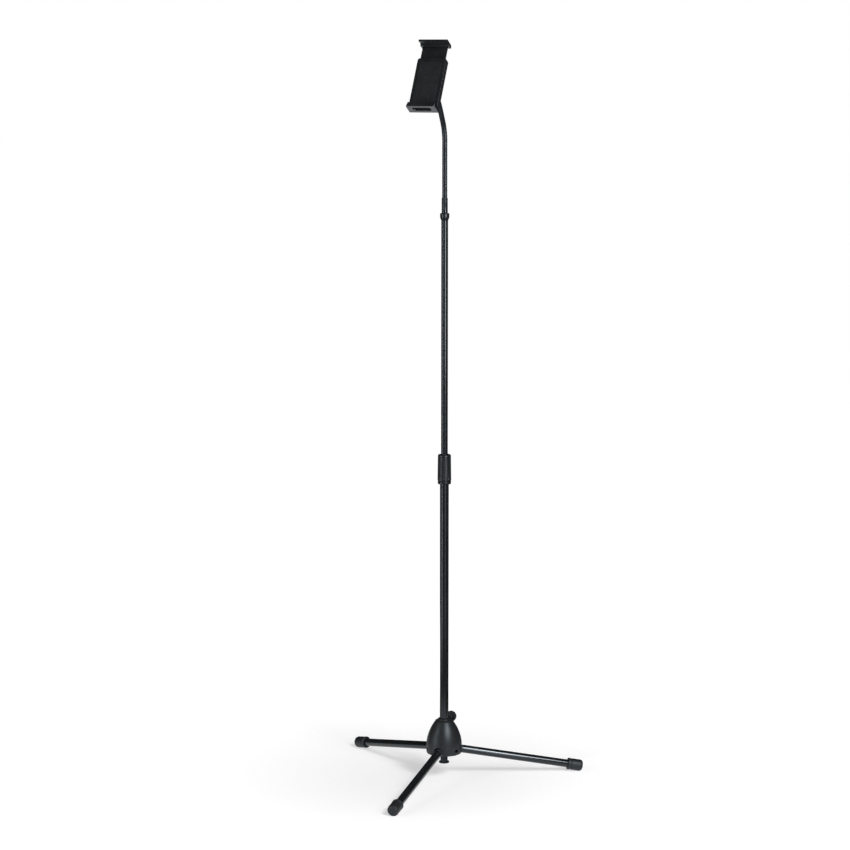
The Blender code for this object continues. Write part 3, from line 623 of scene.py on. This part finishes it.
def build_gooseneck():
    """Six lengths of sleeve, each laid across one hinge, and the ferrule at the gooseneck's foot."""
    foot = -0.0170
    bounds = [foot] + NECK_HINGES + [NECK_END]
    middles = [(a + b) / 2 for a, b in zip(bounds, bounds[1:])]
    ends = [foot] + middles[1:-1] + [NECK_END]
    for index, (low, high) in enumerate(zip(ends, ends[1:]), 1):
        replaced = [f"gooseneck_{index}"] + (["gooseneck_7"] if index == 6 else [])
        sleeve = neck_sleeve(f"neck_sleeve_{index}", low, high, replaced)
        hinge = NECK_HINGES[index - 1]
        reach = 0.016
        neck_point(hinge - reach)[0]
        neck_point(hinge + reach)[0]
        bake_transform(sleeve)
    low, high = 1.3573, NECK_BASE_Z
    radius, hole, socket, top = 0.0072, 0.0034, NECK_RADIUS + GAP, 1.370
    profile = [(0, top + 0.004), (socket, top + 0.004), (socket, high), (radius - 0.0003, high, 0.0002),
               (radius, high - 0.0006, 0.0004), (radius, high - 0.0040),
               (radius - 0.00025, high - 0.0044, 0.0002), (radius - 0.00025, high - 0.0052, 0.0002),
               (radius, high - 0.0056), (radius, high - 0.0086), (radius - 0.00025, high - 0.0090, 0.0002),
               (radius - 0.00025, high - 0.0098, 0.0002), (radius, high - 0.0102),
               (radius, low + 0.0006, 0.0005), (radius - 0.0007, low, 0.0003), (hole, low),
               (hole, top + 0.0005), (0, top + 0.0005)]
    lathe("ferrule_turned", profile, POLE, "neck_black", "neck_1", ["gooseneck_ferrule"], steps=80)


# ---------------------------------------------------------------- ball joint
BALL, NECK_LEAN = neck_point(NECK_LENGTH)
NECK_TOP = Matrix.Translation(BALL) @ Matrix.Rotation(NECK_LEAN, 4, "X")
HOLDER = Matrix.Translation(BALL) @ Matrix.Rotation(-HOLDER_LEAN, 4, "X")


def build_ball_joint():
    """The gooseneck's end sleeve, the socket, its clamp ring and the ball on its stud."""
    bore, inner, sleeve = NECK_RADIUS + GAP, -0.0335, 0.0075
    profile = [(0, -0.0140), (0.003, -0.0140), (0.003, -0.0203), (sleeve - 0.0006, -0.0203, 0.0003),
               (sleeve, -0.0209, 0.0003), (sleeve, -0.0380), (sleeve - 0.0003, -0.0384, 0.0002),
               (sleeve - 0.0003, -0.0392, 0.0002), (sleeve, -0.0396), (sleeve, -0.0444, 0.0004),
               (sleeve - 0.0005, -0.0450, 0.0003), (bore, -0.0450), (bore, inner), (0, inner)]
    lathe("neck_end_turned", profile, NECK_TOP, "neck_black", "neck_7", ["neck_end_sleeve"], steps=80)
    radius = 0.0098
    bowl = [(radius * cos(radians(a)), radius * sin(radians(a))) for a in range(-90, -4, 7)]
    cup = bowl + [(sqrt(radius ** 2 - 0.002 ** 2), 0.002), (0.0120, 0.002, 0.0003), (0.0120, -0.0078, 0.0008),
                  (0.0088, -0.0145, 0.0012), (0.0080, -0.0200, 0.0004), (0.0034, -0.0200), (0.0034, -0.0135),
                  (0, -0.0135)]
    cup[0] = (0, -radius)
    lathe("ball_socket_moulded", cup, NECK_TOP, "holder_plastic", "socket", ["ball_socket"], steps=96)

    def ribs(distance, height, angle):
        if distance < 0.0128 or not -0.0050 < height < 0.0064:
            return distance
        return distance - 0.00055 * (0.5 - 0.5 * cos(20 * angle)) ** 1.5

    side = [(0.0136, 0.0068 - 0.0121 * i / 12) for i in range(1, 12)]
    ring = [(0.0086, 0.0090, 0.0003), (0.0118, 0.0090, 0.0007), (0.0136, 0.0073, 0.0006)] + side
    ring += [(0.0136, -0.0058, 0.0005), (0.0131, -0.0060, 0.0002), (0.0123, -0.0060), (0.0123, 0.0023)]
    ring += [(radius * cos(radians(a)), radius * sin(radians(a))) for a in (13.6, 20, 26, 33, 39.2)]
    lathe("clamp_ring_moulded", ring, NECK_TOP, "grip_plastic", "clamp_ring", ["clamp_ring"], steps=160,
          closed=True, wave=ribs)
    plate, shank, ball = 0.018, 0.0025, 0.0095
    stud = [(0, plate + 0.0068), (shank, plate + 0.0068, 0.0003), (shank, plate - GAP),
            (0.0065, plate - GAP, 0.0003), (0.0065, plate - 0.0030, 0.0005), (0.0035, plate - 0.0050, 0.0006)]
    stud += [(ball * cos(radians(a)), ball * sin(radians(a))) for a in [68 - 158 * i / 24 for i in range(24)]]
    stud.append((0, -ball))
    lathe("ball_stud_turned", stud, along_y(HOLDER), "steel", "ball", ["ball_stud"], steps=72)


# ---------------------------------------------------------------- holder
# Its frame has its origin at the ball, Z up the holder and -Y out of its front.
HALF, BACK, FRONT = 0.035, -0.018, -0.0485
SHELF_LOW, SHELF_TOP, BODY_LOW, BODY_HIGH = -0.086, -0.0803, -0.0800, 0.0460


def build_holder_body():
    """The back housing with its boss, grooves and four screws, the front cover and the ribbed back pad."""
    shell_front = -0.0297
    middle = (BODY_LOW + BODY_HIGH) / 2
    tall = (BODY_HIGH - BODY_LOW) / 2
    face = round_outline(HALF, tall, 0.005, (0, middle))
    shell = prism_shape(face, shell_front, BACK, "y")
    hollow = box_shape((-HALF + 0.0025, shell_front - 0.005, BODY_LOW + 0.0025),
                       (HALF - 0.0025, BACK - 0.0025, BODY_HIGH - 0.0025))
    mouth = box_shape((-0.0308, BACK - 0.0107, BODY_HIGH - 0.010), (0.0308, BACK - 0.0069, BODY_HIGH + 0.010))
    hole = rod_shape(0.0028, 0.030, 0.010, 32)
    tools = [("DIFFERENCE", hollow, STILL), ("DIFFERENCE", mouth, STILL),
             ("DIFFERENCE", hole, along_y(STILL))]
    boss = lathe_shape([(0.0100, 0.0169, 0.0004), (0.0100, 0.0190), (0.0080, 0.0190),
                        (0.0080, 0.0169, 0.0003)], 64, closed=True)
    tools.append(("UNION", boss, along_y(STILL)))
    for z in (-0.052, -0.040, -0.028, 0.024, 0.036):
        groove = prism_shape(round_outline(0.022, 0.0011, 0.0010, (0, z)), BACK - 0.0008, BACK + 0.002, "y")
        tools.append(("DIFFERENCE", groove, STILL))
    screws = [(x, z) for z in (-0.072, 0.038) for x in (-0.029, 0.029)]
    for x, z in sorted(screws):
        well = lathe_shape([(0, 0.021), (0.0024, 0.021), (0.0024, 0.0196), (0.0024, 0.016), (0, 0.016)], 32)
        tools.append(("DIFFERENCE", well, along_y(Matrix.Translation((x, 0, z)))))
    sculpt("back_housing_moulded", shell, tools, HOLDER, "holder_plastic", "holder", ["back_housing"],
           edge=0.0006)
    for number, (x, z) in enumerate(screws, 1):
        head = lathe_shape([(0, 0.01995), (0.0021, 0.01995), (0.0021, 0.0192, 0.0003),
                            (0.0015, 0.0186, 0.0003), (0, 0.0186)], 32)
        cross = [("DIFFERENCE", box_shape((-0.0011, -0.00022, 0.0180), (0.0011, 0.00022, 0.0192)), STILL),
                 ("DIFFERENCE", box_shape((-0.00022, -0.0011, 0.0180), (0.00022, 0.0011, 0.0192)), STILL)]
        sculpt(f"housing_screw_{number}", head, cross, along_y(HOLDER @ Matrix.Translation((x, 0, z))),
               "steel", "holder", sharp=30)
    cover = prism_shape(face, -0.0325, -0.0300, "y")
    sculpt("front_cover_moulded", cover, [], HOLDER, "holder_plastic", "holder", ["front_cover"], edge=0.0008,
           segments=3)
    pad = prism_shape(round_outline(0.027, 0.053, 0.003, (0, -0.017)), -0.0340, -0.0328, "y")
    ribs = []
    for row in range(17):
        outline = round_outline(0.0235, 0.0009, 0.0008, (0, -0.065 + 0.006 * row))
        ribs.append(("DIFFERENCE", prism_shape(outline, -0.0350, -0.0335, "y"), STILL))
    sculpt("back_pad_ribbed", pad, ribs, HOLDER, "black_rubber", "holder", ["back_pad"], edge=0.0003)


def build_lower_jaw():
    """The shelf with its lip and cable slot, and a ribbed pad on each side of the slot."""
    cut = 0.0040
    outline = [(-HALF, BACK), (-HALF, FRONT + cut), (-HALF + 0.0006, FRONT + 0.0016),
               (-HALF + 0.0018, FRONT + 0.0005), (-HALF + cut, FRONT), (HALF - cut, FRONT),
               (HALF - 0.0018, FRONT + 0.0005), (HALF - 0.0006, FRONT + 0.0016), (HALF, FRONT + cut),
               (HALF, BACK)]
    shelf = prism_shape(outline, SHELF_LOW, SHELF_TOP)
    lip_outline = round_outline(HALF - 0.0027, 0.00505, 0.0014, (0, -0.08045))
    lip = prism_shape(lip_outline, FRONT + 0.0001, -0.0455, "y")
    slot_outline = round_outline(0.0225, 0.0075, 0.0055, (0, -0.0340))
    slot = prism_shape(slot_outline, SHELF_LOW - 0.004, SHELF_TOP + 0.004)
    tools = [("UNION", lip, STILL), ("DIFFERENCE", slot, STILL)]
    sculpt("lower_jaw_moulded", shelf, tools, HOLDER, "holder_plastic", "holder", ["lower_jaw"], edge=0.0009,
           segments=3)
    for number, side in enumerate((-1, 1), 1):
        ends = sorted((side * 0.0235, side * 0.031))
        centre = ((ends[0] + ends[1]) / 2, -0.0395)
        pad = prism_shape(round_outline(0.00375, 0.0050, 0.0010, centre), -0.0800, -0.0788)
        ribs = []
        for row in range(4):
            rib = round_outline(0.0028, 0.0003, 0.00025, (centre[0], -0.0425 + 0.002 * row))
            ribs.append(("DIFFERENCE", prism_shape(rib, -0.0791, -0.0780), STILL))
        sculpt(f"lower_pad_{number}_ribbed", pad, ribs, HOLDER, "black_rubber", "holder",
               [f"lower_pad_{number}"], edge=0.0002)


def build_upper_jaw():
    """The sliding jaw, its notched plate and its ribbed pad."""
    base, under, top, heel = 0.0772, 0.0816, 0.086, -0.0340
    curve = [(BACK - 0.0055 + 0.0055 * cos(radians(a)), top - 0.0055 + 0.0055 * sin(radians(a)))
             for a in range(0, 91, 15)]
    side = [(BACK - 0.0030 + 0.0030 * cos(radians(a)), base + 0.0030 + 0.0030 * sin(radians(a)))
            for a in range(-90, 0, 15)] + curve
    side += [(FRONT + 0.0014, top), (FRONT + 0.0004, top - 0.0005), (FRONT, top - 0.0014), (FRONT, 0.0811),
             (FRONT + 0.0006, 0.0806), (-0.0460, 0.0806), (-0.0455, 0.0811), (-0.0455, under), (heel, under),
             (heel, base + 0.0006), (heel + 0.0006, base)]
    jaw = prism_shape(side, -HALF, HALF, "x")
    tools = []
    for z in (-0.0265, -0.0345):
        groove = prism_shape(round_outline(0.026, 0.0012, 0.0011, (0, z)), top - 0.0008, top + 0.002)
        tools.append(("DIFFERENCE", groove, STILL))
    sculpt("upper_jaw_moulded", jaw, tools, HOLDER, "holder_plastic", "upper_jaw", ["upper_jaw"], edge=0.0009,
           segments=3)
    plate = box_shape((-0.0305, BACK - 0.0104, -0.0451), (0.0305, BACK - 0.0072, 0.0769))
    tools = []
    for row in range(9):
        z = 0.0500 - 0.0085 * row
        notch = prism_shape(round_outline(0.0100, 0.0012, 0.0011, (0, z)), BACK - 0.0112, BACK - 0.0098, "y")
        tools.append(("DIFFERENCE", notch, STILL))
    for x in (-0.0265, 0.0265):
        rail = box_shape((x - 0.0012, BACK - 0.0112, -0.0400), (x + 0.0012, BACK - 0.0099, 0.0700))
        tools.append(("DIFFERENCE", rail, STILL))
    sculpt("slide_plate_moulded", plate, tools, HOLDER, "holder_plastic", "upper_jaw", ["slide_plate"],
           edge=0.0006)
    pad = prism_shape(round_outline(0.029, 0.0049, 0.0015, (0, -0.0396)), 0.0801, 0.0813)
    ribs = []
    for column in range(-8, 9):
        rib = round_outline(0.0004, 0.0040, 0.00035, (column * 0.003, -0.0396))
        ribs.append(("DIFFERENCE", prism_shape(rib, 0.0794, 0.0804), STILL))
    sculpt("upper_pad_ribbed", pad, ribs, HOLDER, "black_rubber", "upper_jaw", ["upper_pad"], edge=0.0002)


# ---------------------------------------------------------------- carried-over CAD nodes
def dress_cad_nodes():
    """Gives every node that keeps its CAD mesh the finish of its material slot."""
    slots = {part["node"]: part["material_slot"] for part in frame["record"]["subparts"]}
    for name, obj in frame["nodes"].items():
        obj.data.materials.clear()
        obj.data.materials.append(MATERIALS[slots[name]])


# ---------------------------------------------------------------- stage
def link(obj):
    """Puts an object in the scene."""
    bpy.context.scene.collection.objects.link(obj)
    return obj


def area_light(name, azimuth, distance, height, width, tall, power, aim):
    """A softbox that faces the pole at the height aim. Azimuth 0 is in front, and positive towards +X."""
    data = bpy.data.lights.new(name, "AREA")
    data.shape = "RECTANGLE"
    data.size, data.size_y = width, tall
    data.energy = power
    lamp = link(bpy.data.objects.new(name, data))
    angle = radians(azimuth)
    lamp.location = (sin(angle) * distance, POLE_Y - cos(angle) * distance, height)
    lamp.rotation_euler = (Vector((0, POLE_Y, aim)) - lamp.location).to_track_quat("-Z", "Y").to_euler()


def stage_sheet(name, half, centre, glow, albedo, seen):
    """A square sheet that glows, less in its middle as painted shade round the stand's foot, and is seen only
    by the named kinds of ray.
    """
    mesh = bpy.data.meshes.new(name)
    corners = [(-half, -half, 0), (half, -half, 0), (half, half, 0), (-half, half, 0)]
    mesh.from_pydata(corners, [], [(0, 1, 2, 3)])
    obj = link(bpy.data.objects.new(name, mesh))
    obj.location = centre
    material, tree, shader = new_material(name + "_paper")
    shader.inputs["Base Color"].default_value = (albedo, albedo, albedo, 1)
    shader.inputs["Roughness"].default_value = 0.9
    shader.inputs["Specular IOR Level"].default_value = 0.1
    shader.inputs["Emission Color"].default_value = (1, 1, 1, 1)
    reach = node(tree, "ShaderNodeVectorMath", operation="LENGTH")
    tree.links.new(node(tree, "ShaderNodeTexCoord").outputs["Object"], reach.inputs[0])
    # Painted shade: the glow is weakest near the middle, standing in for the shade round the stand's foot on
    # the floor and in its reflection
    spread = remap(tree, reach.outputs["Value"], glow[0], glow[1], 0.15, 0.95)
    tree.links.new(spread, shader.inputs["Emission Strength"])
    mesh.materials.append(material)
    limit_rays(obj, seen)


def limit_rays(obj, seen):
    """Marks a part of the stage and says which kinds of ray see it."""
    obj.visible_camera = "camera" in seen
    obj.visible_diffuse = "diffuse" in seen
    obj.visible_glossy = "glossy" in seen
    obj.visible_transmission = "camera" in seen
    obj.visible_shadow = False


def build_stage():
    """A white floor, whose glow is dimmed round the stand as a painted shade pool, and a backdrop. The two
    smaller sheets are what the stand's gloss reflects.
    """
    stage_sheet("floor", 40.0, (0, 0, -0.0004), (0.50, 0.82), 0.55, ("camera", "diffuse"))
    stage_sheet("floor_near", 0.42, (0, 0, -0.0008), (0.50, 0.60), 0.3, ("glossy",))
    stage_sheet("floor_back", 0.6, (-0.7, 1.0, -0.0008), (1.1, 1.1), 0.3, ("glossy",))
    shape = bmesh.new()
    bmesh.ops.create_uvsphere(shape, u_segments=48, v_segments=24, radius=39.0)
    dome = to_object(shape)
    dome.name = "backdrop"
    material, _, shader = new_material("backdrop_paper")
    shader.inputs["Base Color"].default_value = (0, 0, 0, 1)
    shader.inputs["Specular IOR Level"].default_value = 0.0
    shader.inputs["Emission Color"].default_value = (1, 1, 1, 1)
    shader.inputs["Emission Strength"].default_value = 1.0
    dome.data.materials.append(material)
    limit_rays(dome, ("camera",))
    world = bpy.data.worlds.new("studio")
    world.use_nodes = True
    background = world.node_tree.nodes["Background"]
    background.inputs["Color"].default_value = (1, 1, 1, 1)
    background.inputs["Strength"].default_value = 0.035
    bpy.context.scene.world = world


def build_lights():
    """Three softboxes, and a soft sun from the upper right that throws the shadow on the floor."""
    area_light("key_left", -40, 3.2, 1.3, 0.4, 3.8, 50, 1.3)
    area_light("fill_right", 44, 3.4, 1.3, 0.5, 3.8, 16, 1.3)
    area_light("top_right", 50, 1.6, 1.15, 0.5, 1.0, 16, 0.1)
    data = bpy.data.lights.new("overhead", "SUN")
    data.energy = 1.5
    data.angle = radians(16)
    lamp = link(bpy.data.objects.new("overhead", data))
    lamp.location = (0.9, 0.4, 3.0)
    lamp.rotation_euler = Vector((-0.621, 0.398, -0.672)).to_track_quat("-Z", "Y").to_euler()


def build_camera():
    """A long lens that looks slightly down at the stand."""
    azimuth, distance, height = radians(20.4), 5.86, 1.749
    yaw, pitch = radians(-0.449), radians(8.650)
    right = Vector((cos(azimuth), sin(azimuth), 0))
    away = Vector((-sin(azimuth), cos(azimuth), 0))
    look = sin(yaw) * cos(pitch) * right + cos(yaw) * cos(pitch) * away - Vector((0, 0, sin(pitch)))
    data = bpy.data.cameras.new("camera")
    data.sensor_width = 36.0
    data.lens = 106.36
    data.clip_start, data.clip_end = 0.1, 100.0
    camera = link(bpy.data.objects.new("camera", data))
    camera.location = (sin(azimuth) * distance, POLE_Y - cos(azimuth) * distance, height)
    camera.rotation_euler = look.to_track_quat("-Z", "Y").to_euler()
    bpy.context.scene.camera = camera


for leg_number in (1, 2, 3):
    build_leg(leg_number)
build_hub()
build_hub_knob()
build_pole()
build_clutch()
build_lock_nut()
build_gooseneck()
build_ball_joint()
build_holder_body()
build_lower_jaw()
build_upper_jaw()
dress_cad_nodes()
build_stage()
build_lights()
build_camera()
bpy.context.scene.view_settings.view_transform = "Standard"

bpy.context.view_layer.update()
